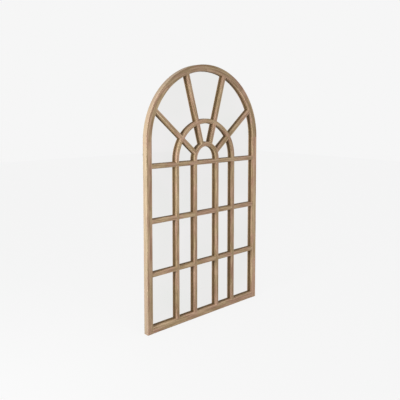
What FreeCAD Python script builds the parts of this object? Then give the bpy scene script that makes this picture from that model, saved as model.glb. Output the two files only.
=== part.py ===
import FreeCAD, Part
import Sketcher

import math
import os
import re

from FreeCAD import Placement, Rotation, Vector

# Arched window mirror: one mirror sheet behind a wooden glazing grille, in a round-headed frame.
#
# Millimetres. X runs to the right as one faces the mirror, +Z is up and +Y points at the wall.
# The origin is at the bottom, half way across the width and half way through the depth.
# Inside each piece, y = 0 is the front face of the frame and y grows towards the wall.

# ---------------------------------------------------------------- driving dimensions

SIZES = {
    # the whole mirror
    "overall_width": 1050,
    "overall_height": 1800,
    "frame_depth": 40,
    # mouldings: the frame's face, the glazing bars and the bevel on every inner edge
    "frame_face": 48,
    "frame_edge": 2,
    "bar_width": 34,
    "bar_thickness": 25,
    "bevel_width": 6.5,
    "bevel_depth": 13,
    # the three horizontal bars: the top one, the transom, hangs below the arch's centre
    "lower_bar_height": 395,
    "middle_bar_height": 751,
    "transom_drop": 160,
    # how far the upright bars stand from the middle
    "inner_bar_offset": 104,
    "outer_bar_offset": 267,
    # the fan above the transom
    "inner_arch_leg": 6,
    "spoke_centre_drop": 38,
    "lower_spoke_angle": 40.5,
    "upper_spoke_angle": 74.4,
    # rebates, mirror sheet and backing board
    "glass_thickness": 4,
    "glass_lap": 10,
    "board_thickness": 3,
    "board_lap": 26,
    "edge_gap": 1,
    # half-laps, tenons and dowels
    "lap_depth": 15,
    "tenon_thickness": 9,
    "tenon_width": 20,
    "tenon_length": 12,
    "tenon_setback": 8,
    "rail_tenon_width": 24,
    "rail_tenon_length": 25,
    "socket_gap": 0.5,
    "dowel_radius": 4,
    "dowel_length": 50,
    "crown_dowel_radius": 3,
    "crown_dowel_length": 30,
    "glue_gap": 0.1,
    "front_dowel_depth": 10,
    "front_dowel_inset": 24,
    "back_dowel_depth": 32,
    "back_dowel_inset": 11,
    # screws in the backing board
    "screw_radius": 1.6,
    "screw_head_radius": 3.5,
    "screw_head_height": 2,
    "screw_length": 12,
    "pilot_gap": 0.05,
    "first_screw_height": 150,
    "last_screw_drop": 75,
    "rail_screw_offset": 350,
    # hangers on the back of the stiles
    "hanger_drop": 75,
    "hanger_inset": 14,
    "strap_width": 14,
    "strap_length": 41,
    "strap_thickness": 2,
    "strap_fold": 1,
    "strap_fold_angle": 30,
    "upper_strap_screw": 29,
    "ring_wire_radius": 1.5,
    "ring_half_width": 12,
    "ring_leg": 9,
    "ring_corner": 3,
    "ring_clearance": 0.3,
    "pin_clearance": 0.05,
    "strap_screw_radius": 1.9,
    "strap_screw_head_radius": 3.6,
    "strap_screw_head_height": 1.8,
    "strap_screw_length": 14,
    # rubber bumpers between the frame and the wall
    "bumper_radius": 8,
    "bumper_thickness": 7,
    "lower_bumper_height": 60,
    "upper_bumper_drop": 175,
    "bumper_inset": 12,
}

# places worked out from the sizes above
HALF_WIDTH = "overall_width / 2"
ARCH_CENTRE = "(overall_height - overall_width / 2)"
TRANSOM_HEIGHT = f"({ARCH_CENTRE} - transom_drop)"
TRANSOM_TOP = f"({TRANSOM_HEIGHT} + bar_width / 2)"
TRANSOM_FOOT = f"({TRANSOM_HEIGHT} - bar_width / 2)"
INNER_ARCH_HEIGHT = f"({TRANSOM_TOP} + inner_arch_leg)"
SPOKE_CENTRE = f"({INNER_ARCH_HEIGHT} - spoke_centre_drop)"
HANGER_HEIGHT = f"({ARCH_CENTRE} - hanger_drop)"
FRONT = "-(frame_depth + bumper_thickness) / 2"
REBATE = "(bar_thickness + glass_thickness)"
SCREW_INSET = "(frame_face - (glass_lap + board_lap) / 2)"
TENON_BACK = "(tenon_setback + tenon_thickness)"
EYE_DEPTH = "(frame_depth + strap_thickness + ring_clearance + ring_wire_radius)"
EYE_RADIUS = "(ring_wire_radius + pin_clearance + strap_fold)"

document = FreeCAD.newDocument("arched_window_mirror")
sheet = document.addObject("Spreadsheet::Sheet", "Sizes")
for row, (alias, value) in enumerate(SIZES.items(), start=1):
    sheet.set(f"A{row}", alias)
    sheet.set(f"B{row}", str(value))
    sheet.setAlias(f"B{row}", alias)
document.recompute()

ALIASES = re.compile(r"\b(" + "|".join(SIZES) + r")\b")


# ---------------------------------------------------------------- ways of making a shape

def bind(thing, target, rule):
    """Tie one property or constraint to a rule written with the names in the sheet."""
    thing.setExpression(target, ALIASES.sub(r"Sizes.\1", str(rule)))


def set_place(thing, x="0", y=FRONT, z="0", turn=None, axis=(0, 1, 0)):
    """Put a piece at x, y, z, turned by the angle `turn` about `axis`."""
    if turn is not None:
        thing.Placement = Placement(Vector(0, 0, 0), Rotation(Vector(*axis), 1))
        bind(thing, "Placement.Rotation.Angle", turn)
    bind(thing, "Placement.Base.x", x)
    bind(thing, "Placement.Base.y", y)
    bind(thing, "Placement.Base.z", z)


def new_body(name):
    body = document.addObject("PartDesign::Body", name)
    body.AllowCompound = True
    set_place(body)
    return body


def new_sketch(body, plane, shift="0"):
    """A sketch on one of the body's own planes, moved `shift` along that plane's normal."""
    sketch = body.newObject("Sketcher::SketchObject", body.Name + "_outline")
    origin_plane = [part for part in body.Origin.OriginFeatures if part.Role == plane + "_Plane"][0]
    sketch.AttachmentSupport = [(origin_plane, "")]
    sketch.MapMode = "FlatFace"
    bind(sketch, "AttachmentOffset.Base.z", shift)
    return sketch


def hold(sketch, line, end, across, along):
    """Fix one end of a line, or a circle's centre, at rules measured from the sketch's origin."""
    for direction, rule in (("DistanceX", across), ("DistanceY", along)):
        index = sketch.addConstraint(Sketcher.Constraint(direction, -1, 1, line, end, 1.0))
        bind(sketch, f"Constraints[{index}]", rule)


def add_polygon(sketch, corners):
    """A closed outline of straight lines, with every corner held by its own rules."""
    count = len(corners)
    first = sketch.GeometryCount
    ring = [Vector(math.cos(turn), math.sin(turn), 0) * 10
            for turn in (2 * math.pi * index / count for index in range(count))]
    for index in range(count):
        sketch.addGeometry(Part.LineSegment(ring[index], ring[(index + 1) % count]), False)
    for index in range(count):
        following = first + (index + 1) % count
        sketch.addConstraint(Sketcher.Constraint("Coincident", first + index, 2, following, 1))
    for index, (across, along) in enumerate(corners):
        hold(sketch, first + index, 1, across, along)


def add_circle(sketch, across, along, radius):
    index = sketch.addGeometry(Part.Circle(Vector(0, 0, 0), Vector(0, 0, 1), 1), False)
    hold(sketch, index, 3, across, along)
    size = sketch.addConstraint(Sketcher.Constraint("Radius", index, 1.0))
    bind(sketch, f"Constraints[{size}]", radius)


def extrude(body, sketch, length, symmetric=False, backwards=False):
    pad = body.newObject("PartDesign::Pad", body.Name + "_pad")
    pad.Profile = sketch
    pad.SideType = "Symmetric" if symmetric else "One side"
    pad.Reversed = backwards
    bind(pad, "Length", length)
    body.Tip = pad
    return body


def cut_through(body, sketch):
    pocket = body.newObject("PartDesign::Pocket", body.Name + "_pocket")
    pocket.Profile = sketch
    pocket.SideType = "Symmetric"
    pocket.Type = "ThroughAll"
    body.Tip = pocket
    return body


def box(name, low, high):
    """A box between two corners, each given by three rules."""
    block = document.addObject("Part::Box", name)
    set_place(block, low[0], f"({FRONT}) + {low[1]}", low[2])
    for side, start, end in zip(("Length", "Width", "Height"), low, high):
        bind(block, side, f"({end}) - ({start})")
    return block


def cylinder(name, radius, length, x, y, z, turn=None, axis=(0, 1, 0)):
    rod = document.addObject("Part::Cylinder", name)
    bind(rod, "Radius", radius)
    bind(rod, "Height", length)
    set_place(rod, x, f"({FRONT}) + {y}", z, turn, axis)
    return rod


def group(name, pieces):
    together = document.addObject("Part::Compound", name)
    together.Links = pieces
    return together


def cut(base, tools, name):
    """The base less every tool."""
    result = document.addObject("Part::Cut", name)
    result.Base = base
    result.Tool = tools[0] if len(tools) == 1 else group(name + "_tools", tools)
    return result


def join(pieces, name):
    result = document.addObject("Part::MultiFuse", name)
    result.Shapes = pieces
    result.Refine = True
    return result


finished = []


def keep(piece, label):
    """Mark a piece as one of the mirror's own, under the name that it is known by."""
    piece.Label = label
    finished.append(piece)
    return piece


# ---------------------------------------------------------------- sections of the mouldings

def frame_section(edge, inward):
    """(across, depth) corners of the frame: outer edge, face, bevel, and the two rebates behind."""
    steps = [
        ("0", "frame_edge"), ("frame_edge", "0"),
        ("(frame_face - bevel_width)", "0"), ("frame_face", "bevel_depth"),
        ("frame_face", "bar_thickness"),
        ("(frame_face - glass_lap)", "bar_thickness"), ("(frame_face - glass_lap)", REBATE),
        ("(frame_face - board_lap)", REBATE), ("(frame_face - board_lap)", "frame_depth"),
        ("0", "frame_depth"),
    ]
    return [(f"{edge} {inward} {step}", depth) for step, depth in steps]


def bar_section(centre, back="bar_thickness"):
    """(across, depth) corners of a glazing bar with both front edges bevelled."""
    half = "bar_width / 2"
    return [
        (f"{centre} - {half} + bevel_width", "0"), (f"{centre} + {half} - bevel_width", "0"),
        (f"{centre} + {half}", "bevel_depth"), (f"{centre} + {half}", back),
        (f"{centre} - {half}", back), (f"{centre} - {half}", "bevel_depth"),
    ]


def swapped(corners):
    return [(depth, across) for across, depth in corners]


def upright(name, section, start, end):
    """A moulding that runs up from one height to another."""
    body = new_body(name)
    sketch = new_sketch(body, "XY", start)
    add_polygon(sketch, section)
    return extrude(body, sketch, f"({end}) - ({start})")


def crosswise(name, section, length):
    """A moulding that runs from left to right, centred on the mirror."""
    body = new_body(name)
    sketch = new_sketch(body, "YZ")
    add_polygon(sketch, swapped(section))
    return extrude(body, sketch, length, symmetric=True)


def ring_part(name, section, centre_height, sweep, turn=None):
    """A moulding bent round a centre; the section's across is its distance from that centre."""
    body = new_body(name)
    set_place(body, z=centre_height, turn=turn)
    sketch = new_sketch(body, "YZ")
    add_polygon(sketch, swapped(section))
    bend = body.newObject("PartDesign::Revolution", name + "_bend")
    bend.Profile = sketch
    bend.ReferenceAxis = (sketch, ["H_Axis"])
    bind(bend, "Angle", sweep)
    body.Tip = bend
    return body


# ---------------------------------------------------------------- the frame before its joints are cut

SIDES = {"left": -1, "right": 1}

stile_blanks = {
    "left": upright("left_stile_blank", frame_section("-" + HALF_WIDTH, "+"), "0", ARCH_CENTRE),
    "right": upright("right_stile_blank", frame_section(HALF_WIDTH, "-"), "0", ARCH_CENTRE),
}
stile_pair = group("stile_pair", list(stile_blanks.values()))
rail_blank = cut(
    crosswise("rail_length", frame_section("0", "+"), "overall_width - 2 * (frame_face - board_lap)"),
    [stile_pair], "rail_blank")

SEGMENTS = ["arch_left_lower", "arch_left_upper", "arch_right_upper", "arch_right_lower"]
SEGMENT_SWEEP = 90 / (len(SEGMENTS) / 2)
segment_blanks = {
    name: ring_part(name + "_blank", frame_section(HALF_WIDTH, "-"), ARCH_CENTRE,
                    SEGMENT_SWEEP, str(index * SEGMENT_SWEEP - 90))
    for index, name in enumerate(SEGMENTS)
}
outer_arch = ring_part("outer_arch_shape", frame_section(HALF_WIDTH, "-"), ARCH_CENTRE, 360)

# ---------------------------------------------------------------- dowels across the arch's joints

DOWEL_ROWS = [("back_dowel_inset", "back_dowel_depth"), ("front_dowel_inset", "front_dowel_depth")]


def arch_dowels(name, radius, length):
    """Two dowels across each of the arch's joints, lying along the arch."""
    rods = []
    for joint in range(len(SEGMENTS) + 1):
        turn = joint * SEGMENT_SWEEP - 90
        for inset, depth in DOWEL_ROWS:
            reach = f"({HALF_WIDTH} - {inset})"
            rods.append(cylinder(
                f"{name}_{len(rods)}", radius, length,
                f"{reach} * sin({turn}) - ({length}) / 2 * cos({turn})", depth,
                f"{ARCH_CENTRE} + {reach} * cos({turn}) + ({length}) / 2 * sin({turn})",
                str(turn + 90)))
    return group(name, rods)


keep(arch_dowels("dowels", "dowel_radius", "dowel_length"), "frame_dowels")
dowel_holes = arch_dowels("dowel_holes", "dowel_radius + glue_gap", "dowel_length + 2 * socket_gap")

# ---------------------------------------------------------------- screws that hold the backing board

SCREWS_PER_STILE = 4
ARCH_SCREW_ANGLES = (-75, -45, -15, 15, 45, 75)


def board_screw_places():
    """(x, z) of each screw, along the middle of the step that the board lies on."""
    places = []
    stile_run = f"({ARCH_CENTRE} - last_screw_drop - first_screw_height)"
    for side in SIDES.values():
        for index in range(SCREWS_PER_STILE):
            share = index / (SCREWS_PER_STILE - 1)
            places.append((f"{side} * ({HALF_WIDTH} - {SCREW_INSET})",
                           f"first_screw_height + {share} * {stile_run}"))
    for step in (-1, 0, 1):
        places.append((f"{step} * rail_screw_offset", SCREW_INSET))
    for turn in ARCH_SCREW_ANGLES:
        reach = f"({HALF_WIDTH} - {SCREW_INSET})"
        places.append((f"{reach} * sin({turn})", f"{ARCH_CENTRE} + {reach} * cos({turn})"))
    return places


def screws(name, places, seat, radius, length, head_radius, head_height):
    """Pan-head screws driven towards the front, their heads lying on the depth `seat`."""
    pieces = []
    for index, (x, z) in enumerate(places):
        shank = cylinder(f"{name}_shank_{index}", radius, length, x, seat, z, "90", (1, 0, 0))
        head = cylinder(f"{name}_head_{index}", head_radius, head_height, x,
                        f"{seat} + {head_height}", z, "90", (1, 0, 0))
        pieces.append(join([shank, head], f"{name}_{index}"))
    return group(name, pieces)


def pilot_holes(name, places, seat, radius, length):
    drills = [cylinder(f"{name}_{index}", radius + " + pilot_gap", length + " + socket_gap",
                       x, seat, z, "90", (1, 0, 0)) for index, (x, z) in enumerate(places)]
    return group(name, drills)


BOARD_BACK = f"({REBATE} + board_thickness)"
keep(screws("board_screw", board_screw_places(), BOARD_BACK, "screw_radius", "screw_length",
            "screw_head_radius", "screw_head_height"), "board_screws")
board_pilots = pilot_holes("board_pilots", board_screw_places(), BOARD_BACK,
                           "screw_radius", "screw_length")

# ---------------------------------------------------------------- mirror sheet and backing board


def arched_sheet(name, inset, depth, thickness):
    """A flat sheet with a round head, its edge `inset` inside the frame's outer edge."""
    body = new_body(name)
    half = f"({HALF_WIDTH} - ({inset}))"
    straight = new_sketch(body, "XZ", f"-({depth})")
    add_polygon(straight, [("-" + half, inset), (half, inset),
                           (half, ARCH_CENTRE), ("-" + half, ARCH_CENTRE)])
    extrude(body, straight, thickness, backwards=True)
    head = new_sketch(body, "XZ", f"-({depth})")
    add_circle(head, "0", ARCH_CENTRE, half)
    return extrude(body, head, thickness, backwards=True)


keep(arched_sheet("mirror_sheet", "frame_face - glass_lap + edge_gap", "bar_thickness",
                  "glass_thickness"), "mirror_sheet")
board_blank = arched_sheet("board_blank", "frame_face - board_lap + edge_gap", REBATE,
                           "board_thickness")
keep(cut(board_blank, [board_pilots], "backing_board"), "backing_board")

# ---------------------------------------------------------------- straight glazing bars

UPRIGHTS = {
    "outer_left_bar": "-outer_bar_offset",
    "inner_left_bar": "-inner_bar_offset",
    "inner_right_bar": "inner_bar_offset",
    "outer_right_bar": "outer_bar_offset",
}
CROSS_BARS = {"lower_bar": "lower_bar_height", "middle_bar": "middle_bar_height"}
INNER_WIDTH = "(overall_width - 2 * frame_face)"


def cross_tenon(name, height, width, reach):
    """A tongue that runs the whole way between the stiles and on into both of them."""
    half = f"({INNER_WIDTH} / 2 + {reach})"
    return box(name, ("-" + half, "tenon_setback", f"{height} - {width} / 2"),
               (half, TENON_BACK, f"{height} + {width} / 2"))


def upright_tenon(name, offset, foot, top):
    return box(name, (f"{offset} - tenon_width / 2", "tenon_setback", foot),
               (f"{offset} + tenon_width / 2", TENON_BACK, top))


def slot_for(name, height, width, reach):
    return cross_tenon(name, height, width, reach + " + socket_gap")


stile_slots = [
    slot_for(name + "_slot", height, "tenon_width", "tenon_length")
    for name, height in [*CROSS_BARS.items(), ("transom", TRANSOM_HEIGHT)]
]
stile_slots.append(slot_for("rail_slot", "frame_face / 2", "rail_tenon_width", "rail_tenon_length"))

upright_slots = [
    upright_tenon(name + "_slot", offset, "frame_face - tenon_length - socket_gap",
                  f"{TRANSOM_FOOT} + tenon_length + socket_gap")
    for name, offset in UPRIGHTS.items()
]

# the transom runs unbroken from stile to stile and carries the fan
transom_blank = cut(
    crosswise("transom_length", bar_section(TRANSOM_HEIGHT), INNER_WIDTH + " + 2 * bevel_width"),
    [stile_pair], "transom_blank")

# the uprights pass in front of the two lower cross bars, halved into them
front_halves = [upright(name + "_front", bar_section(offset, "lap_depth"), "0", TRANSOM_TOP)
                for name, offset in UPRIGHTS.items()]
back_halves = [
    box(name + "_back", ("-" + HALF_WIDTH, "lap_depth", f"{height} - bar_width / 2"),
        (HALF_WIDTH, "bar_thickness", f"{height} + bar_width / 2"))
    for name, height in CROSS_BARS.items()
]
above_and_below = group("above_and_below", [rail_blank, transom_blank])

for name, offset in UPRIGHTS.items():
    length = upright(name + "_length", bar_section(offset), "frame_face - bevel_width",
                     f"{TRANSOM_FOOT} + bevel_width")
    scribed = cut(length, [above_and_below], name + "_scribed")
    tenon = upright_tenon(name + "_tenon", offset, "frame_face - tenon_length",
                          f"{TRANSOM_FOOT} + tenon_length")
    tenoned = join([scribed, tenon], name + "_tenoned")
    keep(cut(tenoned, [group(name + "_laps", back_halves)], name), name)

for name, height in CROSS_BARS.items():
    length = crosswise(name + "_length", bar_section(height), INNER_WIDTH + " + 2 * bevel_width")
    scribed = cut(length, [stile_pair], name + "_scribed")
    tenon = cross_tenon(name + "_tenon", height, "tenon_width", "tenon_length")
    tenoned = join([scribed, tenon], name + "_tenoned")
    keep(cut(tenoned, [group(name + "_laps", front_halves)], name), name)

# ---------------------------------------------------------------- the two inner arches

FEET = {"mid_arch": "outer_bar_offset", "small_arch": "inner_bar_offset"}

foot_slots = [
    box(f"{arch}_{side}_foot_slot",
        (f"{sign} * {offset} - tenon_width / 2", "tenon_setback",
         f"{TRANSOM_TOP} - tenon_length - socket_gap"),
        (f"{sign} * {offset} + tenon_width / 2", TENON_BACK, INNER_ARCH_HEIGHT))
    for arch, offset in FEET.items() for side, sign in SIDES.items()
]


def arch_foot(name, offset):
    """The short straight leg under one end of an inner arch, scribed and tenoned to the transom."""
    leg = upright(name + "_leg", bar_section(offset), f"{TRANSOM_TOP} - bevel_width", INNER_ARCH_HEIGHT)
    scribed = cut(leg, [transom_blank], name + "_leg_scribed")
    tongue = upright_tenon(name + "_tongue", offset, f"{TRANSOM_TOP} - tenon_length",
                           INNER_ARCH_HEIGHT)
    return [scribed, tongue]


small_bend = ring_part("small_arch_bend", bar_section("inner_bar_offset"), INNER_ARCH_HEIGHT,
                       180, "-90")
small_arch_blank = join([small_bend, *arch_foot("small_arch_left", "-inner_bar_offset"),
                         *arch_foot("small_arch_right", "inner_bar_offset")], "small_arch_blank")
mid_arch_blanks = {
    side: join([ring_part(f"mid_arch_{side}_bend", bar_section("outer_bar_offset"),
                          INNER_ARCH_HEIGHT, 90, "-90" if sign < 0 else "0"),
                *arch_foot(f"mid_arch_{side}", f"{sign} * outer_bar_offset")],
               f"mid_arch_{side}_blank")
    for side, sign in SIDES.items()
}
mid_arch_front = ring_part("mid_arch_front", bar_section("outer_bar_offset", "lap_depth"),
                           INNER_ARCH_HEIGHT, 360)
small_arch_shape = ring_part("small_arch_shape", bar_section("inner_bar_offset"),
                             INNER_ARCH_HEIGHT, 360)


def crown_dowel(name, radius, length):
    """One dowel where the two halves of the middle arch meet."""
    return cylinder(name, radius, length, f"-({length}) / 2", "bar_thickness / 2",
                    f"{INNER_ARCH_HEIGHT} + outer_bar_offset", "90")


keep(crown_dowel("crown_rod", "crown_dowel_radius", "crown_dowel_length"), "crown_dowel")
crown_hole = crown_dowel("crown_hole", "crown_dowel_radius + glue_gap",
                         "crown_dowel_length + 2 * socket_gap")

# ---------------------------------------------------------------- spokes of the fan

SPOKES = {
    "lower_left_spoke": (-1, "lower_spoke_angle"),
    "upper_left_spoke": (-1, "upper_spoke_angle"),
    "upper_right_spoke": (1, "upper_spoke_angle"),
    "lower_right_spoke": (1, "lower_spoke_angle"),
}


def reach_to(circle_height, radius, angle):
    """How far along a spoke its middle line meets a circle centred on the mirror's middle line."""
    rise = f"(({circle_height}) - {SPOKE_CENTRE})"
    return (f"({rise} * sin({angle})"
            f" + sqrt(({radius}) * ({radius}) - ({rise} * cos({angle})) * ({rise} * cos({angle}))))")


def along_spoke(name, side, angle, section, start, end):
    """A bar along one spoke; the body's own z runs up the spoke from the point they all aim at."""
    body = upright(name, section, start, end)
    set_place(body, z=SPOKE_CENTRE, turn=f"90 - {angle}", axis=(0, side, 0))
    return body


def tongue_section(width, front, back):
    return [(f"-({width}) / 2", front), (f"({width}) / 2", front),
            (f"({width}) / 2", back), (f"-({width}) / 2", back)]


spoke_slots = []
spoke_backs = []
for name, (side, angle) in SPOKES.items():
    inside = reach_to(INNER_ARCH_HEIGHT, "inner_bar_offset", angle)
    shoulder = reach_to(INNER_ARCH_HEIGHT, "inner_bar_offset + bar_width / 2", angle)
    outside = reach_to(ARCH_CENTRE, HALF_WIDTH + " - frame_face", angle)
    length = along_spoke(name + "_length", side, angle, bar_section("0"), inside,
                         outside + " + frame_face / 2")
    scribed = cut(cut(length, [outer_arch], name + "_outer_end"), [small_arch_shape],
                  name + "_scribed")
    tongue = tongue_section("tenon_width", "tenon_setback", TENON_BACK)
    tenon = along_spoke(name + "_tenon", side, angle, tongue, shoulder + " - tenon_length",
                        outside + " + tenon_length")
    tenoned = join([scribed, tenon], name + "_tenoned")
    keep(cut(tenoned, [mid_arch_front], name), name)
    spoke_slots.append(along_spoke(name + "_slot", side, angle, tongue,
                                   shoulder + " - tenon_length - socket_gap",
                                   outside + " + tenon_length + socket_gap"))
    spoke_backs.append(along_spoke(name + "_back", side, angle,
                                   tongue_section("bar_width", "lap_depth", "bar_thickness"),
                                   shoulder, outside))

keep(cut(small_arch_blank, [group("small_arch_slots", spoke_slots)], "small_arch"), "small_arch")
mid_arch_joints = group("mid_arch_joints", [*spoke_backs, crown_hole])
for side, blank in mid_arch_blanks.items():
    keep(cut(blank, [mid_arch_joints], f"mid_arch_{side}"), f"mid_arch_{side}")

# ---------------------------------------------------------------- hangers on the back

STRAP_SCREW_HEIGHTS = (f"{HANGER_HEIGHT} - upper_strap_screw", f"{HANGER_HEIGHT} - strap_length")
STRAP_BACK = "(frame_depth + strap_thickness)"


def hanger_x(side):
    return f"{SIDES[side]} * ({HALF_WIDTH} - hanger_inset)"


def hanger_strap(side):
    """A folded steel strap: two screw holes, and an eye at its top for the ring's straight side."""
    body = new_body(side + "_strap")
    set_place(body, x=hanger_x(side), y=f"({FRONT}) + frame_depth", z=HANGER_HEIGHT)
    half = "strap_width / 2"
    plate = new_sketch(body, "XZ")
    add_polygon(plate, [("-" + half, "-strap_length"), (half, "-strap_length"),
                        (half, "0"), ("-" + half, "0")])
    extrude(body, plate, "strap_thickness", backwards=True)
    rounded_end = new_sketch(body, "XZ")
    add_circle(rounded_end, "0", "-strap_length", half)
    extrude(body, rounded_end, "strap_thickness", backwards=True)
    axis_depth = f"({EYE_DEPTH} - frame_depth)"
    fold_depth = f"({axis_depth} + {EYE_RADIUS} * cos(strap_fold_angle))"
    fold_height = f"(-{EYE_RADIUS} * sin(strap_fold_angle))"
    fold_foot = f"({fold_height} - ({fold_depth} - strap_thickness) / tan(strap_fold_angle))"
    fold = new_sketch(body, "YZ")
    add_polygon(fold, [("0", "0"), (axis_depth, "0"), (fold_depth, fold_height),
                       ("strap_thickness", fold_foot), ("0", fold_foot)])
    extrude(body, fold, "strap_width", symmetric=True)
    eye = new_sketch(body, "YZ")
    add_circle(eye, axis_depth, "0", EYE_RADIUS)
    extrude(body, eye, "strap_width", symmetric=True)
    bore = new_sketch(body, "YZ")
    add_circle(bore, axis_depth, "0", "ring_wire_radius + pin_clearance")
    cut_through(body, bore)
    return body


strap_screw_places = [(hanger_x(side), height) for side in SIDES for height in STRAP_SCREW_HEIGHTS]
keep(screws("hanger_screw", strap_screw_places, STRAP_BACK, "strap_screw_radius",
            "strap_screw_length", "strap_screw_head_radius", "strap_screw_head_height"),
     "hanger_screws")
strap_pilots = pilot_holes("strap_pilots", strap_screw_places, STRAP_BACK, "strap_screw_radius",
                           "strap_screw_length")


def bend(name, radius, sweep, x, z, turn, axis):
    """A stretch of the ring's wire bent round a centre."""
    stretch = document.addObject("Part::Torus", name)
    bind(stretch, "Radius1", radius)
    bind(stretch, "Radius2", "ring_wire_radius")
    bind(stretch, "Angle3", sweep)
    set_place(stretch, x, f"({FRONT}) + {EYE_DEPTH}", z, turn, axis)
    return stretch


def hanging_ring(side):
    """A wire ring: a straight side through the strap's eye, two legs and a round bow below."""
    name = side + "_ring"
    middle = hanger_x(side)
    corner_height = f"{HANGER_HEIGHT} - ring_corner"
    bow_height = f"{HANGER_HEIGHT} - ring_leg"
    inner = "(ring_half_width - ring_corner)"
    wire = [
        cylinder(name + "_pin", "ring_wire_radius", f"2 * {inner}", f"{middle} - {inner}",
                 EYE_DEPTH, HANGER_HEIGHT, "90"),
        bend(name + "_bow", "ring_half_width", 180, middle, bow_height, "-90", (1, 0, 0)),
        bend(name + "_corner_right", "ring_corner", 90, f"{middle} + {inner}", corner_height,
             "90", (1, 0, 0)),
        bend(name + "_corner_left", "ring_corner", 90, f"{middle} - {inner}", corner_height,
             "180", (0, 1, 1)),
    ]
    for sign in SIDES.values():
        wire.append(cylinder(f"{name}_leg_{len(wire)}", "ring_wire_radius",
                             "ring_leg - ring_corner", f"{middle} + {sign} * ring_half_width",
                             EYE_DEPTH, bow_height))
    return join(wire, name)


for side in SIDES:
    keep(cut(hanger_strap(side), [strap_pilots], side + "_hanger"), side + "_hanger")
    keep(hanging_ring(side), side + "_ring")

# ---------------------------------------------------------------- bumpers against the wall

BUMPER_HEIGHTS = ("lower_bumper_height", f"{ARCH_CENTRE} - upper_bumper_drop")

bumpers = [
    cylinder(f"{side}_bumper_{index}", "bumper_radius", "bumper_thickness",
             f"{SIDES[side]} * ({HALF_WIDTH} - bumper_inset)", "frame_depth + bumper_thickness",
             height, "90", (1, 0, 0))
    for side in SIDES
    for index, height in enumerate(BUMPER_HEIGHTS)
]
keep(group("bumpers", bumpers), "wall_bumpers")

# ---------------------------------------------------------------- cutting the frame's joints

stile_cuts = group("stile_cuts", [*stile_slots, dowel_holes, board_pilots, strap_pilots])
for side, blank in stile_blanks.items():
    keep(cut(blank, [stile_cuts], side + "_stile"), side + "_stile")

rail_tongue = cross_tenon("rail_tenon", "frame_face / 2", "rail_tenon_width", "rail_tenon_length")
rail_cuts = group("rail_cuts", [*upright_slots, board_pilots])
keep(cut(join([rail_blank, rail_tongue], "rail_tenoned"), [rail_cuts], "bottom_rail"), "bottom_rail")

transom_tongue = cross_tenon("transom_tenon", TRANSOM_HEIGHT, "tenon_width", "tenon_length")
transom_cuts = group("transom_cuts", [*upright_slots, *foot_slots])
keep(cut(join([transom_blank, transom_tongue], "transom_tenoned"), [transom_cuts], "transom"),
     "transom")

segment_cuts = group("segment_cuts", [*spoke_slots, dowel_holes, board_pilots])
for name, blank in segment_blanks.items():
    keep(cut(blank, [segment_cuts], name), name)

# ---------------------------------------------------------------- checks and files

document.recompute()
for thing in document.Objects:
    if "Invalid" in thing.State or "Error" in thing.State:
        raise RuntimeError(f"{thing.Label} was not built: {thing.State}")
for piece in finished:
    if piece.Shape.isNull() or not piece.Shape.isValid():
        raise RuntimeError(f"{piece.Label} has no valid shape")

os.makedirs("parts", exist_ok=True)
for piece in finished:
    piece.Shape.exportStep(f"parts/{piece.Label}.step")
    print(f"{piece.Label}: {len(piece.Shape.Solids)} solid(s), {piece.Shape.Volume / 1000:.1f} cm3")
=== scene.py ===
import itertools
import math

import bmesh
import bpy
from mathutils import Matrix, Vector


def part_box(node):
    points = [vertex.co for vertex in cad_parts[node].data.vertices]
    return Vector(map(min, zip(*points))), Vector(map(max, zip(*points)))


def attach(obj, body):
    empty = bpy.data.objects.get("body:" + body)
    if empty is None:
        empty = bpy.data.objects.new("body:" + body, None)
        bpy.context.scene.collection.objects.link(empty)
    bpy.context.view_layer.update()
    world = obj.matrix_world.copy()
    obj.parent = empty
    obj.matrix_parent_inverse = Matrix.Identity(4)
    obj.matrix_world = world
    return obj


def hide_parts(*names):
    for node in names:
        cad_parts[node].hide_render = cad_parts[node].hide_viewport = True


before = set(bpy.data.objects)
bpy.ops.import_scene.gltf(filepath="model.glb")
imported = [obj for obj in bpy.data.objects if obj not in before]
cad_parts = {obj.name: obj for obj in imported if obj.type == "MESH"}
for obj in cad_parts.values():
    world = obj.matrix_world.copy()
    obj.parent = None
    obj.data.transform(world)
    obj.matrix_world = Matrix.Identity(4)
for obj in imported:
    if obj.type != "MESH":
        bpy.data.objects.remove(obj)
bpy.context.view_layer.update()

# Arched window mirror: a limed and oiled oak grille over one silvered sheet, in a round-headed frame.
# Metres. The front face of the frame is at FACE, and the wall is towards +Y. The bevel along the inner
# edges runs BEVEL across the face and BEVEL_DEPTH back from it.

MM = 0.001
BEVEL, BEVEL_DEPTH = 6.5 * MM, 13 * MM
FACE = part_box("left_stile")[0].y


# ---------------------------------------------------------------- colours and nodes

def linear(hex_colour):
    """An sRGB hex colour as the linear, opaque colour that a socket takes."""
    channels = [int(hex_colour[index:index + 2], 16) / 255 for index in (1, 3, 5)]
    return [c / 12.92 if c <= 0.04045 else ((c + 0.055) / 1.055) ** 2.4 for c in channels] + [1.0]


def add_node(tree, kind, settings, inputs):
    """Add a node, set its options, and give each named input a value or a link."""
    node = tree.nodes.new(kind)
    for option, value in settings.items():
        setattr(node, option, value)
    for socket, value in inputs.items():
        if isinstance(value, bpy.types.NodeSocket):
            tree.links.new(value, node.inputs[socket])
        else:
            node.inputs[socket].default_value = value
    return node


def new_material(name):
    """A material with its node tree and its shader."""
    material = bpy.data.materials.new(name)
    material.use_nodes = True
    tree = material.node_tree
    return material, tree, tree.nodes["Principled BSDF"]


def seen_or_mirrored(tree):
    """1 for what is seen directly or in the mirror, and 0 where only light falls."""
    path = add_node(tree, "ShaderNodeLightPath", {}, {})
    seen = add_node(tree, "ShaderNodeMath", {"operation": "MAXIMUM"},
                    {0: path.outputs["Is Camera Ray"], 1: path.outputs["Is Glossy Ray"]})
    return seen.outputs[0]


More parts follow.
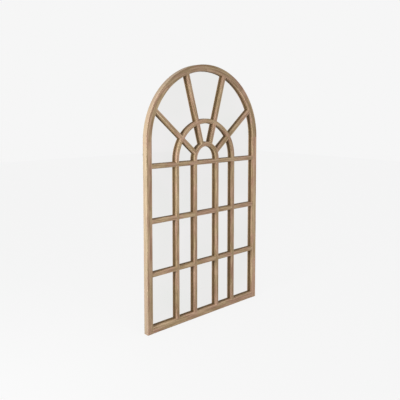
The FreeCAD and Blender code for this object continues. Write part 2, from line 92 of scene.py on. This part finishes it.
def finish_nodes(material, *names):
    """Give CAD nodes this material in every slot."""
    for name in names:
        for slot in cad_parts[name].material_slots:
            slot.material = material


# ---------------------------------------------------------------- where the grain runs

def straight_grain(tree, anchor, lean):
    """Across, depth and along a straight member through `anchor`, leaning `lean` from upright."""
    place = add_node(tree, "ShaderNodeTexCoord", {}, {})
    turned = add_node(tree, "ShaderNodeMapping", {"vector_type": "TEXTURE"}, {
        "Vector": place.outputs["Object"],
        "Location": (anchor[0], FACE, anchor[1]),
        "Rotation": (0, lean, 0),
    })
    return turned.outputs["Vector"]


def bent_grain(tree, centre_height, radius):
    """The same round an arch: across is measured from `radius`, along follows the bend."""
    place = add_node(tree, "ShaderNodeTexCoord", {}, {})
    offset = add_node(tree, "ShaderNodeVectorMath", {"operation": "SUBTRACT"},
                      {0: place.outputs["Object"], 1: (0, FACE, centre_height)})
    parts = add_node(tree, "ShaderNodeSeparateXYZ", {}, {"Vector": offset.outputs["Vector"]})
    turn = add_node(tree, "ShaderNodeMath", {"operation": "ARCTAN2"},
                    {0: parts.outputs["X"], 1: parts.outputs["Z"]})
    along = add_node(tree, "ShaderNodeMath", {"operation": "MULTIPLY"}, {0: turn.outputs[0], 1: radius})
    flat = add_node(tree, "ShaderNodeCombineXYZ", {},
                    {"X": parts.outputs["X"], "Z": parts.outputs["Z"]})
    reach = add_node(tree, "ShaderNodeVectorMath", {"operation": "LENGTH"}, {0: flat.outputs["Vector"]})
    across = add_node(tree, "ShaderNodeMath", {"operation": "SUBTRACT"},
                      {0: reach.outputs["Value"], 1: radius})
    space = add_node(tree, "ShaderNodeCombineXYZ", {}, {
        "X": across.outputs[0], "Y": parts.outputs["Y"], "Z": along.outputs[0]})
    return space.outputs["Vector"]


# ---------------------------------------------------------------- the wood

def oiled_oak(name, grain_of, half_face, board, tone, inner_side):
    """Oak, planed, limed and oiled: brown flats with pink and olive drift, a painted highlight along
    the arrises, painted light on the outer edge of the frame, and painted shade on the side by the
    mirror.
    `tone` is partly how pale the board is beside the others, and partly painted light and shade that
    evens out how the lamps fall on each member. `inner_side` is 1 or -1 where only that
    side faces the mirror, and 0 where both do."""
    material, tree, shader = new_material(name)

    def toned(hex_colour):
        return [channel * tone for channel in linear(hex_colour)[:3]] + [1]

    space = grain_of(tree)
    parts = add_node(tree, "ShaderNodeSeparateXYZ", {}, {"Vector": space})
    across, depth = parts.outputs["X"], parts.outputs["Y"]

    # the fibres wander by about 7 mm either way over a hand's length
    wander_space = add_node(tree, "ShaderNodeVectorMath", {"operation": "MULTIPLY_ADD"},
                            {0: space, 1: (0.4, 0.4, 1), 2: (board * 0.31, 0, board * 0.47)})
    wander = add_node(tree, "ShaderNodeTexNoise", {}, {
        "Vector": wander_space.outputs["Vector"], "Scale": 1 / (160 * MM), "Detail": 1.0})
    fibres = add_node(tree, "ShaderNodeVectorMath", {"operation": "MULTIPLY_ADD"},
                      {0: wander.outputs["Color"], 1: (14 * MM, 14 * MM, 0), 2: space})

    # growth rings 5 mm apart round a pith that lies behind and beside the board
    pith = add_node(tree, "ShaderNodeVectorMath", {"operation": "MULTIPLY_ADD"}, {
        0: fibres.outputs["Vector"], 1: (1, 1, 0), 2: ((-1) ** board * 31 * MM, 38 * MM, 0)})
    ring_radius = add_node(tree, "ShaderNodeVectorMath", {"operation": "LENGTH"},
                           {0: pith.outputs["Vector"]})
    ring_count = add_node(tree, "ShaderNodeMath", {"operation": "DIVIDE"},
                          {0: ring_radius.outputs["Value"], 1: 5 * MM})
    in_ring = add_node(tree, "ShaderNodeMath", {"operation": "FRACT"}, {0: ring_count.outputs[0]})
    late_wood = add_node(tree, "ShaderNodeMapRange", {"interpolation_type": "SMOOTHSTEP"}, {
        "Value": in_ring.outputs[0], "From Min": 0.35, "From Max": 0.95, "To Max": 0.25})

    # streaks left by liming, about 8 mm wide and 200 mm long
    streak_space = add_node(tree, "ShaderNodeVectorMath", {"operation": "MULTIPLY_ADD"}, {
        0: fibres.outputs["Vector"], 1: (1, 1, 0.04), 2: (board * 0.37, board * 0.11, board * 0.23)})
    streaks = add_node(tree, "ShaderNodeTexNoise", {}, {
        "Vector": streak_space.outputs["Vector"], "Scale": 1 / (8 * MM), "Detail": 3.0,
        "Roughness": 0.65})
    # open pores of oak are 0.3 mm wide; drawn 1.2 mm wide so that they show
    pores = add_node(tree, "ShaderNodeTexNoise", {}, {
        "Vector": streak_space.outputs["Vector"], "Scale": 1 / (1.2 * MM), "Detail": 2.0})
    # the drift of colour within a board, a hand's breadth wide
    drift_space = add_node(tree, "ShaderNodeVectorMath", {"operation": "MULTIPLY_ADD"},
                           {0: space, 1: (1, 1, 0.35), 2: (board * 0.71, 0, board * 0.53)})
    drift = add_node(tree, "ShaderNodeTexNoise", {}, {
        "Vector": drift_space.outputs["Vector"], "Scale": 1 / (50 * MM), "Detail": 2.0})

    streak_tone = add_node(tree, "ShaderNodeMapRange", {"interpolation_type": "SMOOTHSTEP"}, {
        "Value": streaks.outputs["Fac"], "From Min": 0.34, "From Max": 0.66})
    drift_tone = add_node(tree, "ShaderNodeMapRange", {"interpolation_type": "SMOOTHSTEP"}, {
        "Value": drift.outputs["Fac"], "From Min": 0.38, "From Max": 0.62})
    dark_wood = add_node(tree, "ShaderNodeMix", {"data_type": "RGBA"}, {
        "Factor": drift_tone.outputs[0], 6: toned("#95735c"), 7: toned("#907957")})
    light_wood = add_node(tree, "ShaderNodeMix", {"data_type": "RGBA"}, {
        "Factor": drift_tone.outputs[0], 6: toned("#c2a189"), 7: toned("#bfa785")})
    figure = add_node(tree, "ShaderNodeMix", {"data_type": "RGBA"}, {
        "Factor": streak_tone.outputs[0], 6: dark_wood.outputs[2], 7: light_wood.outputs[2]})
    ringed = add_node(tree, "ShaderNodeMix", {"data_type": "RGBA"}, {
        "Factor": late_wood.outputs[0], 6: figure.outputs[2], 7: linear("#87684e")})
    pore_mask = add_node(tree, "ShaderNodeMapRange", {}, {
        "Value": pores.outputs["Fac"], "From Min": 0.58, "From Max": 0.70, "To Max": 0.4})
    pored = add_node(tree, "ShaderNodeMix", {"data_type": "RGBA"}, {
        "Factor": pore_mask.outputs[0], 6: ringed.outputs[2], 7: linear("#64493a")})

    # how far towards the mirror's side, from the middle of the board
    if inner_side:
        inward = add_node(tree, "ShaderNodeMath", {"operation": "MULTIPLY"}, {0: across, 1: inner_side})
    else:
        inward = add_node(tree, "ShaderNodeMath", {"operation": "ABSOLUTE"}, {0: across})
    # painted highlight along the arrises: 2 mm either side of the line where the flat meets the bevel,
    # stronger on the paler streaks
    to_arris = add_node(tree, "ShaderNodeMath", {"operation": "SUBTRACT"},
                        {0: inward.outputs[0], 1: half_face - BEVEL})
    arris_gap = add_node(tree, "ShaderNodeMath", {"operation": "ABSOLUTE"}, {0: to_arris.outputs[0]})
    arris = add_node(tree, "ShaderNodeMapRange", {}, {
        "Value": arris_gap.outputs[0], "From Min": 0.4 * MM, "From Max": 2.4 * MM,
        "To Min": 0.6, "To Max": 0.0})
    arris_highlight = add_node(tree, "ShaderNodeMath", {"operation": "MULTIPLY"},
                         {0: arris.outputs[0], 1: streak_tone.outputs[0]})
    highlighted = add_node(tree, "ShaderNodeMix", {"data_type": "RGBA"}, {
        "Factor": arris_highlight.outputs[0], 6: pored.outputs[2], 7: linear("#d2b99a")})
    # painted light on the outer side and the outer edge of the face, which are a little paler all over
    outer_edge = add_node(tree, "ShaderNodeMapRange", {}, {
        "Value": inward.outputs[0], "From Min": -half_face + 0.5 * MM, "From Max": -half_face + 2 * MM,
        "To Min": 0.4, "To Max": 0.0})
    edged = add_node(tree, "ShaderNodeMix", {"data_type": "RGBA"}, {
        "Factor": outer_edge.outputs[0], 6: highlighted.outputs[2], 7: linear("#cdbca2")})

    # painted shade on the square side between the bevel and the mirror, darker from the foot of the
    # bevel
    below_bevel = add_node(tree, "ShaderNodeMapRange", {"interpolation_type": "SMOOTHSTEP"}, {
        "Value": depth, "From Min": BEVEL_DEPTH - 3 * MM, "From Max": BEVEL_DEPTH + 2 * MM,
        "To Max": 0.9})
    on_side = add_node(tree, "ShaderNodeMath", {"operation": "GREATER_THAN"},
                       {0: inward.outputs[0], 1: half_face - 1.5 * MM})
    side_shade = add_node(tree, "ShaderNodeMath", {"operation": "MULTIPLY"},
                     {0: below_bevel.outputs[0], 1: on_side.outputs[0]})
    side_shaded = add_node(tree, "ShaderNodeMix", {"data_type": "RGBA"}, {
        "Factor": side_shade.outputs[0], 6: edged.outputs[2], 7: linear("#69512d")})

    roughness = add_node(tree, "ShaderNodeMapRange", {}, {
        "Value": streaks.outputs["Fac"], "To Min": 0.52, "To Max": 0.72})
    relief = add_node(tree, "ShaderNodeMath", {"operation": "SUBTRACT"},
                      {0: late_wood.outputs[0], 1: pore_mask.outputs[0]})
    bump = add_node(tree, "ShaderNodeBump", {}, {
        "Strength": 0.2, "Distance": 0.3 * MM, "Height": relief.outputs[0]})
    tree.links.new(side_shaded.outputs[2], shader.inputs["Base Color"])
    tree.links.new(roughness.outputs[0], shader.inputs["Roughness"])
    tree.links.new(bump.outputs["Normal"], shader.inputs["Normal"])
    shader.inputs["IOR"].default_value = 1.5
    shader.inputs["Specular IOR Level"].default_value = 0.3
    return material


def middle(node):
    """The middle of a CAD node's box."""
    low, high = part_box(node)
    return (low + high) / 2


def half_width(node):
    """Half of a CAD node's width across the mirror."""
    low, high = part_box(node)
    return (high.x - low.x) / 2


# half the width of a frame face and of a bar, and the line along the middle of the frame's face
FRAME_HALF = half_width("right_stile")
BAR_HALF = half_width("outer_left_bar")
FRAME_LINE = middle("right_stile").x
# heights of the round head's centre, the fan's centre, and where the lines of the spokes meet
HEAD_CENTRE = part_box("left_stile")[1].z
FAN_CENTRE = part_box("small_arch")[1].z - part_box("small_arch")[1].x
SPOKE_DROP = 38 * MM
SPOKE_CENTRE = FAN_CENTRE - SPOKE_DROP
# leans of a member from upright
UPRIGHT, LEVEL = 0.0, math.pi / 2
LOWER_SPOKE_LEAN, UPPER_SPOKE_LEAN = math.radians(49.5), math.radians(15.6)

# each member is cut from the next board, so no two have the same figure
boards = itertools.count(1)


def straight_member(node, anchor, lean, tone, half_face=BAR_HALF, inner_side=0):
    """Finish a member whose grain runs along its straight line through `anchor`, in (x, z)."""
    finish_nodes(oiled_oak("oiled_oak_" + node, lambda tree: straight_grain(tree, anchor, lean),
                           half_face, next(boards), tone, inner_side), node)


def bent_member(node, centre_height, radius, tone, half_face=BAR_HALF, inner_side=0):
    """Finish a member whose grain follows an arch of this radius about the middle line."""
    finish_nodes(oiled_oak("oiled_oak_" + node, lambda tree: bent_grain(tree, centre_height, radius),
                           half_face, next(boards), tone, inner_side), node)


# each tone is partly how pale that member's board is beside the others, and partly painted light and
# shade that evens out how the lamps fall on each member
straight_member("left_stile", (-FRAME_LINE, 0), UPRIGHT, 0.9, FRAME_HALF, 1)
straight_member("right_stile", (FRAME_LINE, 0), UPRIGHT, 1.16, FRAME_HALF, -1)
straight_member("bottom_rail", (0, FRAME_HALF), LEVEL, 1.0, FRAME_HALF, -1)
for segment, tone in (("arch_left_lower", 0.93), ("arch_left_upper", 0.8),
                      ("arch_right_upper", 0.84), ("arch_right_lower", 0.98)):
    bent_member(segment, HEAD_CENTRE, FRAME_LINE, tone, FRAME_HALF, -1)
for bar, tone in (("outer_left_bar", 0.96), ("inner_left_bar", 0.95),
                  ("inner_right_bar", 0.98), ("outer_right_bar", 0.92)):
    straight_member(bar, (middle(bar).x, 0), UPRIGHT, tone)
for bar, tone in (("lower_bar", 1.02), ("middle_bar", 1.0), ("transom", 0.95)):
    straight_member(bar, (0, middle(bar).z), LEVEL, tone)
for spoke, lean, tone in (("lower_left_spoke", -LOWER_SPOKE_LEAN, 0.98),
                          ("upper_left_spoke", -UPPER_SPOKE_LEAN, 0.92),
                          ("upper_right_spoke", UPPER_SPOKE_LEAN, 0.95),
                          ("lower_right_spoke", LOWER_SPOKE_LEAN, 0.96)):
    straight_member(spoke, (0, SPOKE_CENTRE), lean, tone)
bent_member("small_arch", FAN_CENTRE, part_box("small_arch")[1].x - BAR_HALF, 1.0)
for half, tone in (("mid_arch_left", 1.04), ("mid_arch_right", 0.98)):
    bent_member(half, FAN_CENTRE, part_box("mid_arch_right")[1].x - BAR_HALF, tone)


# ---------------------------------------------------------------- mirror, board and hardware

def silvered_glass():
    """Float glass silvered on its back: near-perfect reflection, a little grey and uneven in tone."""
    material, tree, shader = new_material("silvered_float_glass")
    place = add_node(tree, "ShaderNodeTexCoord", {}, {})
    # uneven silvering and polishing haze in patches about 300 mm wide
    haze = add_node(tree, "ShaderNodeTexNoise", {}, {
        "Vector": place.outputs["Object"], "Scale": 1 / (300 * MM), "Detail": 1.0})
    tone = add_node(tree, "ShaderNodeMix", {"data_type": "RGBA"}, {
        "Factor": haze.outputs["Fac"], 6: linear("#eef0ed"), 7: linear("#f9f6f7")})
    roughness = add_node(tree, "ShaderNodeMapRange", {}, {
        "Value": haze.outputs["Fac"], "To Min": 0.01, "To Max": 0.035})
    tree.links.new(tone.outputs[2], shader.inputs["Base Color"])
    tree.links.new(roughness.outputs[0], shader.inputs["Roughness"])
    shader.inputs["Metallic"].default_value = 1.0
    return material


def hardboard():
    """Hardboard, pressed wood fibre with a smooth brown face: fine mottle and short pale fibres."""
    material, tree, shader = new_material("pressed_hardboard")
    place = add_node(tree, "ShaderNodeTexCoord", {}, {})
    mottle = add_node(tree, "ShaderNodeTexNoise", {}, {
        "Vector": place.outputs["Object"], "Scale": 1 / (25 * MM), "Detail": 5.0, "Roughness": 0.65})
    # fibres are 0.2 mm wide; drawn 3 mm wide so that they show
    fibres = add_node(tree, "ShaderNodeTexNoise", {}, {
        "Vector": place.outputs["Object"], "Scale": 1 / (3 * MM), "Detail": 3.0, "Distortion": 2.0})
    tone = add_node(tree, "ShaderNodeMix", {"data_type": "RGBA"}, {
        "Factor": mottle.outputs["Fac"], 6: linear("#6f4d33"), 7: linear("#93694a")})
    speckle = add_node(tree, "ShaderNodeMapRange", {}, {
        "Value": fibres.outputs["Fac"], "From Min": 0.55, "From Max": 0.7, "To Max": 0.3})
    fibred = add_node(tree, "ShaderNodeMix", {"data_type": "RGBA"}, {
        "Factor": speckle.outputs[0], 6: tone.outputs[2], 7: linear("#b08a66")})
    bump = add_node(tree, "ShaderNodeBump", {}, {
        "Strength": 0.2, "Distance": 0.2 * MM, "Height": fibres.outputs["Fac"]})
    tree.links.new(fibred.outputs[2], shader.inputs["Base Color"])
    tree.links.new(bump.outputs["Normal"], shader.inputs["Normal"])
    shader.inputs["Roughness"].default_value = 0.55
    return material


def plated_steel():
    """Steel, pressed or drawn, then bright zinc plated: cool grey with a cloudy spangle."""
    material, tree, shader = new_material("bright_zinc_plate")
    place = add_node(tree, "ShaderNodeTexCoord", {}, {})
    clouds = add_node(tree, "ShaderNodeTexNoise", {}, {
        "Vector": place.outputs["Object"], "Scale": 1 / (4 * MM), "Detail": 3.0})
    tone = add_node(tree, "ShaderNodeMix", {"data_type": "RGBA"}, {
        "Factor": clouds.outputs["Fac"], 6: linear("#b9bcbe"), 7: linear("#d8dadb")})
    roughness = add_node(tree, "ShaderNodeMapRange", {}, {
        "Value": clouds.outputs["Fac"], "To Min": 0.22, "To Max": 0.42})
    tree.links.new(tone.outputs[2], shader.inputs["Base Color"])
    tree.links.new(roughness.outputs[0], shader.inputs["Roughness"])
    shader.inputs["Metallic"].default_value = 1.0
    return material


def moulded_rubber():
    """Black rubber, moulded: matt, with a dusty grey bloom."""
    material, tree, shader = new_material("moulded_rubber")
    place = add_node(tree, "ShaderNodeTexCoord", {}, {})
    bloom = add_node(tree, "ShaderNodeTexNoise", {}, {
        "Vector": place.outputs["Object"], "Scale": 1 / (5 * MM), "Detail": 3.0})
    tone = add_node(tree, "ShaderNodeMix", {"data_type": "RGBA"}, {
        "Factor": bloom.outputs["Fac"], 6: linear("#1d1d1e"), 7: linear("#343433")})
    tree.links.new(tone.outputs[2], shader.inputs["Base Color"])
    shader.inputs["Roughness"].default_value = 0.75
    return material


def turned_beech():
    """Beech rod, turned: pale and even, with short brown flecks."""
    material, tree, shader = new_material("turned_beech")
    place = add_node(tree, "ShaderNodeTexCoord", {}, {})
    flecks = add_node(tree, "ShaderNodeTexNoise", {}, {
        "Vector": place.outputs["Object"], "Scale": 1 / (1.5 * MM), "Detail": 2.0})
    tone = add_node(tree, "ShaderNodeMix", {"data_type": "RGBA"}, {
        "Factor": flecks.outputs["Fac"], 6: linear("#b58d62"), 7: linear("#d2b084")})
    tree.links.new(tone.outputs[2], shader.inputs["Base Color"])
    shader.inputs["Roughness"].default_value = 0.6
    return material


zinc = plated_steel()
finish_nodes(silvered_glass(), "mirror_sheet")
finish_nodes(hardboard(), "backing_board")
finish_nodes(zinc, "left_hanger", "right_hanger", "left_ring", "right_ring")
finish_nodes(moulded_rubber(), "wall_bumpers")
finish_nodes(turned_beech(), "frame_dowels", "crown_dowel")


# ---------------------------------------------------------------- cross-head screws

# the recess for the driver: its depth, the radius of its core, and how far its wall leans
RECESS_DEPTH = 1.0 * MM
RECESS_CORE = 0.65 * MM
RECESS_WALL = 0.15 * MM
# half the width of the recess's arm, and how far its side wall leans
ARM_HALF = 0.3 * MM
ARM_WALL = 0.12 * MM
SCREW_TURN = math.radians(37)
SHARP_EDGE = math.radians(40)


def screw_places(node):
    """The middle, in (x, z), of each separate screw in a CAD node."""
    mesh = bmesh.new()
    mesh.from_mesh(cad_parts[node].data)
    bmesh.ops.remove_doubles(mesh, verts=mesh.verts[:], dist=0.01 * MM)
    places = []
    reached = set()
    for first in mesh.verts:
        if first in reached:
            continue
        reached.add(first)
        # the list grows while it is read, until it holds the whole screw
        screw = [first]
        for vertex in screw:
            for edge in vertex.link_edges:
                other = edge.other_vert(vertex)
                if other not in reached:
                    reached.add(other)
                    screw.append(other)
        across = [vertex.co.x for vertex in screw]
        upward = [vertex.co.z for vertex in screw]
        places.append(((min(across) + max(across)) / 2, (min(upward) + max(upward)) / 2))
    mesh.free()
    return places


def screw_rings(shank, head, height, length):
    """Rings of a pan-head screw, from the recess out over the head and down to the tip, each as
    its radius, its height in the arms of the cross, and its height on the land between them."""
    arm_floor = height - RECESS_DEPTH
    arm_reach = 0.5 * head
    return [
        (RECESS_CORE, arm_floor, arm_floor),
        (RECESS_CORE + RECESS_WALL, arm_floor, height),
        (arm_reach, arm_floor + 0.3 * RECESS_DEPTH, height),
        (arm_reach + RECESS_WALL, 0.97 * height, 0.97 * height),
        (0.75 * head, 0.88 * height, 0.88 * height),
        (0.92 * head, 0.66 * height, 0.66 * height),
        (head, 0.32 * height, 0.32 * height),
        (head, 0, 0),
        (shank, 0, 0),
        (shank, 2 * shank - length, 2 * shank - length),
        (0.2 * shank, -length, -length),
    ]


def add_screw(mesh, place, seat, rings, turn):
    """One screw with its head towards +Y. Each quarter of a ring has five points: two in the
    recess's arm, and three on the land beside it. Near the middle the arm stays narrow enough
    to leave room for the land."""
    previous = []
    for radius, arm_height, land_height in rings:
        arm_angle = math.asin(min(0.42, ARM_HALF / radius))
        land_angle = math.asin(min(0.6, (ARM_HALF + ARM_WALL) / radius))
        ring = []
        for quarter in range(4):
            start = turn + quarter * math.pi / 2
            for step, height in ((-arm_angle, arm_height), (arm_angle, arm_height),
                                 (land_angle, land_height), (math.pi / 4, land_height),
                                 (math.pi / 2 - land_angle, land_height)):
                angle = start + step
                ring.append(mesh.verts.new((place[0] + radius * math.cos(angle), seat + height,
                                            place[1] + radius * math.sin(angle))))
        if previous:
            for index in range(len(ring)):
                following = (index + 1) % len(ring)
                mesh.faces.new((previous[index], previous[following],
                                ring[following], ring[index]))
        else:
            mesh.faces.new(ring)
        previous = ring
    mesh.faces.new(previous)


def cross_head_screws(name, node, shank, head, height):
    """Screws with a driver's cross in the head, where the CAD screws are. `shank` and `head` are
    radii, and `height` is the head's height. Each screw stopped at another turn."""
    low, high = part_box(node)
    seat = high.y - height
    rings = screw_rings(shank, head, height, seat - low.y)
    mesh = bmesh.new()
    for index, place in enumerate(screw_places(node)):
        add_screw(mesh, place, seat, rings, index * SCREW_TURN)
    bmesh.ops.recalc_face_normals(mesh, faces=mesh.faces[:])
    for face in mesh.faces:
        face.smooth = True
    data = bpy.data.meshes.new(name)
    mesh.to_mesh(data)
    mesh.free()
    data.set_sharp_from_angle(angle=SHARP_EDGE)
    data.materials.append(zinc)
    screws = bpy.data.objects.new(name, data)
    bpy.context.collection.objects.link(screws)
    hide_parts(node)
    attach(screws, "mirror_body")


cross_head_screws("cross_head_board_screws", "board_screws", 1.6 * MM, 3.5 * MM, 2 * MM)
cross_head_screws("cross_head_hanger_screws", "hanger_screws", 1.9 * MM, 3.6 * MM, 1.8 * MM)


# ---------------------------------------------------------------- floor, light and camera

BACKDROP = "#f6f6f6"
FLOOR_REACH = 12.0
# how much of the floor that is seen is flat tone; the rest is its lit paint, which holds the shadow
FLAT_SHARE = 0.92
AMBIENT = 0.55


def pale_floor():
    """Plain pale floor: mostly its own flat tone to the eye and in the mirror, with a soft shadow."""
    material, tree, shader = new_material("pale_floor")
    shader.inputs["Base Color"].default_value = linear("#dcdcdc")
    shader.inputs["Roughness"].default_value = 0.9
    share = add_node(tree, "ShaderNodeMath", {"operation": "MULTIPLY"},
                     {0: seen_or_mirrored(tree), 1: FLAT_SHARE})
    glow = add_node(tree, "ShaderNodeEmission", {}, {"Color": linear("#f9f9f9"), "Strength": 1.0})
    mixed = add_node(tree, "ShaderNodeMixShader", {},
                     {0: share.outputs[0], 1: shader.outputs[0], 2: glow.outputs[0]})
    tree.links.new(mixed.outputs[0], tree.nodes["Material Output"].inputs["Surface"])
    return material


floor_mesh = bpy.data.meshes.new("studio_floor")
floor_mesh.from_pydata([(-FLOOR_REACH, -FLOOR_REACH, 0), (FLOOR_REACH, -FLOOR_REACH, 0),
                        (FLOOR_REACH, FLOOR_REACH, 0), (-FLOOR_REACH, FLOOR_REACH, 0)],
                       [], [(0, 1, 2, 3)])
floor = bpy.data.objects.new("studio_floor", floor_mesh)
bpy.context.collection.objects.link(floor)
floor_mesh.materials.append(pale_floor())

world = bpy.data.worlds.new("pale_studio")
bpy.context.scene.world = world
world.use_nodes = True
sky = world.node_tree
ambient = sky.nodes["Background"]
ambient.inputs["Color"].default_value = (1, 1, 1, 1)
ambient.inputs["Strength"].default_value = AMBIENT
backdrop = add_node(sky, "ShaderNodeBackground", {}, {"Color": linear(BACKDROP), "Strength": 1.0})
shown = add_node(sky, "ShaderNodeMixShader", {},
                 {0: seen_or_mirrored(sky), 1: ambient.outputs[0], 2: backdrop.outputs[0]})
sky.links.new(shown.outputs[0], sky.nodes["World Output"].inputs["Surface"])


LAMP_TARGET = Vector((0, 0, 0.9))


def soft_box(name, place, size, watts):
    """A square studio lamp aimed at the middle of the mirror, and not seen in it."""
    lamp = bpy.data.lights.new(name, "AREA")
    lamp.size = size
    lamp.energy = watts
    holder = bpy.data.objects.new(name, lamp)
    holder.location = place
    holder.rotation_euler = (LAMP_TARGET - Vector(place)).to_track_quat("-Z", "Y").to_euler()
    holder.visible_glossy = False
    bpy.context.collection.objects.link(holder)


# one lamp grazes the left edge from almost beside the mirror, the other fills from straight in front
soft_box("left_edge_lamp", (-2.5, -0.32, 1.4), 0.7, 46)
soft_box("front_fill_lamp", (0.2, -5.0, 2.0), 2.0, 64)

# the camera stands to the left of the mirror at chest height, turned to the right and a little down
CAMERA_DOWN, CAMERA_RIGHT = math.radians(4.348), math.radians(41.724)
camera_data = bpy.data.cameras.new("camera")
camera_data.sensor_width = 36
camera_data.lens = 43.543
camera_data.shift_y = -0.125
camera = bpy.data.objects.new("camera", camera_data)
camera.location = (-2.319, -2.5485, 1.4598)
camera.rotation_euler = (math.pi / 2 - CAMERA_DOWN, 0, -CAMERA_RIGHT)
bpy.context.collection.objects.link(camera)
bpy.context.scene.camera = camera
bpy.context.scene.view_settings.view_transform = "Standard"
